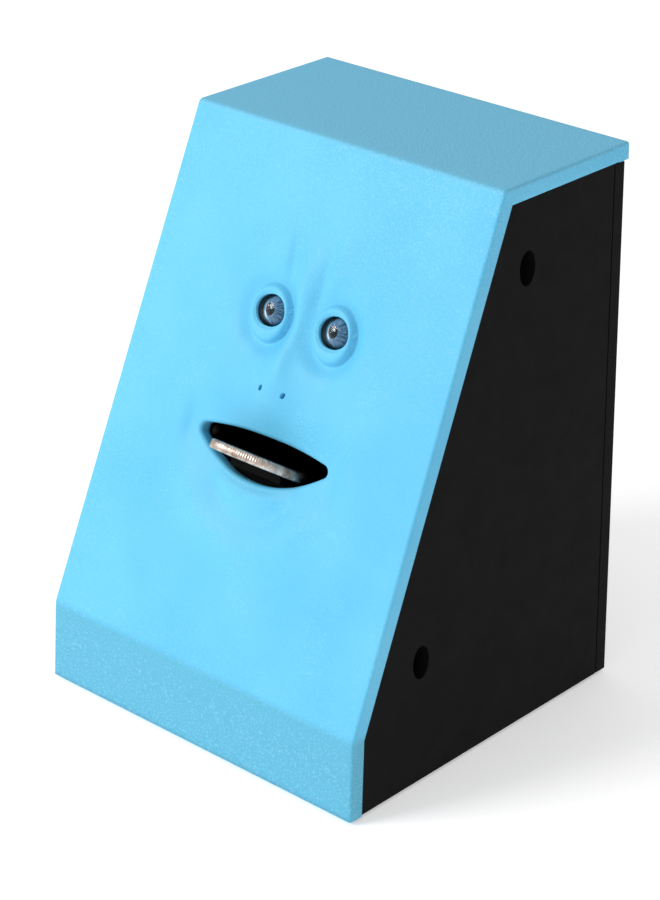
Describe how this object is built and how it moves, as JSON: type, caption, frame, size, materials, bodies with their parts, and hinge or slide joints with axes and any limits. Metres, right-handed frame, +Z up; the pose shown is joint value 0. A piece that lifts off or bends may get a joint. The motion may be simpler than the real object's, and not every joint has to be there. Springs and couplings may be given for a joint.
{
  "type": "toy money box",
  "caption": "Wedge-shaped novelty money box: soft sculpted face skin on the slanted front of a black case, geared chewing jaw with a coin, hinged coin door, battery door and switch.",
  "frame": {"origin": "centre of the footprint, on the table plane that the rubber feet stand on", "axes": "+Z up, the face looks along -Y, +X to the right of a viewer who faces it"},
  "size_m": [0.096, 0.094, 0.1342],
  "materials": {
    "soft_skin": "soft matt moulding with a fine pebble grain",
    "black_plastic": "satin black moulding",
    "coin_metal": "worn nickel-copper",
    "eye_lens": "clear polished dome",
    "eye_iris": "silver-blue print",
    "eye_pupil": "gloss black",
    "white_plastic": "natural acetal",
    "brass": "turned",
    "rubber": "matt",
    "battery_sleeve": "plain printed sleeve, no marks",
    "circuit_board": "solder mask",
    "chip_black": "moulded",
    "capacitor_sleeve": "shrink sleeve",
    "sensor_clear": "water-clear epoxy",
    "steel": "zinc plated"
  },
  "bodies": {
    "case": {"battery_box": "black_plastic", "battery_box_screws": "steel", "battery_contacts": "steel", "battery_lower": "battery_sleeve", "battery_spring_left": "steel", "battery_spring_right": "steel", "battery_upper": "battery_sleeve", "board_capacitor": "capacitor_sleeve", "board_chip": "chip_black", "board_connectors": "white_plastic", "board_resistors": "chip_black", "board_screws": "steel", "case_shell": "black_plastic", "coin_door_hinge_pin": "steel", "eye_holder_left": "white_plastic", "eye_holder_right": "white_plastic", "eye_iris_left": "eye_iris", "eye_iris_right": "eye_iris", "eye_lens_left": "eye_lens", "eye_lens_right": "eye_lens", "eye_pupil_left": "eye_pupil", "eye_pupil_right": "eye_pupil", "face_skin": "soft_skin", "front_frame": "black_plastic", "gearbox_axles": "steel", "gearbox_base": "white_plastic", "gearbox_cover": "white_plastic", "gearbox_cover_screws": "steel", "gearbox_mounting_screws": "steel", "jaw_pivot_pins": "steel", "main_board": "circuit_board", "motor_can": "steel", "motor_end_cap": "white_plastic", "motor_screws": "steel", "motor_terminals": "steel", "power_switch": "black_plastic", "power_switch_screws": "steel", "rear_cover": "black_plastic", "rear_cover_screws": "steel", "rubber_feet": "rubber", "sensor_emitter": "sensor_clear", "sensor_receiver": "chip_black", "side_screws": "steel", "throat": "black_plastic", "throat_screws": "steel"},
    "jaw": {"jaw": "black_plastic"},
    "coin": {"coin": "coin_metal"},
    "crank_gear": {"crank_gear": "white_plastic"},
    "idler_gear": {"idler_gear": "white_plastic"},
    "first_gear": {"first_gear": "white_plastic"},
    "motor_rotor": {"motor_shaft": "steel", "motor_pinion": "brass"},
    "coin_door": {"coin_door": "black_plastic"},
    "door_lock": {"coin_door_lock": "black_plastic"},
    "battery_door": {"battery_door": "black_plastic", "battery_door_screw": "steel"},
    "power_switch_knob": {"power_switch_knob": "black_plastic"}
  },
  "joints": [
    {"name": "crank_spin", "type": "hinge", "parent": "case", "child": "crank_gear", "pos_m": [0, -0.01279, 0.05557], "axis": [1, 0, 0], "range_deg": [0, 180]},
    {"name": "jaw_hinge", "type": "hinge", "parent": "case", "child": "jaw", "pos_m": [0, 0.007, 0.046], "axis": [-1, 0, 0], "range_deg": [0, 5]},
    {"name": "idler_spin", "type": "hinge", "parent": "case", "child": "idler_gear", "pos_m": [0, -0.00953, 0.06774], "axis": [1, 0, 0], "range_deg": [-450, 0]},
    {"name": "first_spin", "type": "hinge", "parent": "case", "child": "first_gear", "pos_m": [0, 0.00229, 0.06982], "axis": [1, 0, 0], "range_deg": [0, 1350]},
    {"name": "motor_spin", "type": "hinge", "parent": "case", "child": "motor_rotor", "pos_m": [0, 0.01253, 0.06266], "axis": [1, 0, 0], "range_deg": [-4275, 0]},
    {"name": "coin_slide", "type": "slide", "parent": "jaw", "child": "coin", "axis": [0, 0.8387, -0.5446], "range_m": [-0.014, 0.024]},
    {"name": "coin_door_hinge", "type": "hinge", "parent": "case", "child": "coin_door", "pos_m": [0, 0.0451, 0.008], "axis": [-1, 0, 0], "range_deg": [0, 95]},
    {"name": "door_lock_turn", "type": "hinge", "parent": "coin_door", "child": "door_lock", "pos_m": [0, 0.0462, 0.0376], "axis": [0, -1, 0], "range_deg": [0, 90]},
    {"name": "battery_door_lift", "type": "slide", "parent": "case", "child": "battery_door", "axis": [0, 1, 0], "range_m": [0, 0.03]},
    {"name": "power_switch_slide", "type": "slide", "parent": "case", "child": "power_switch_knob", "axis": [1, 0, 0], "range_m": [0, 0.004]}
  ],
  "couplings": [
    {"joint": "jaw_hinge", "follows": "crank_spin", "ratio": 0.027778},
    {"joint": "idler_spin", "follows": "crank_spin", "ratio": -2.5},
    {"joint": "first_spin", "follows": "crank_spin", "ratio": 7.5},
    {"joint": "motor_spin", "follows": "crank_spin", "ratio": -23.75}
  ]
}
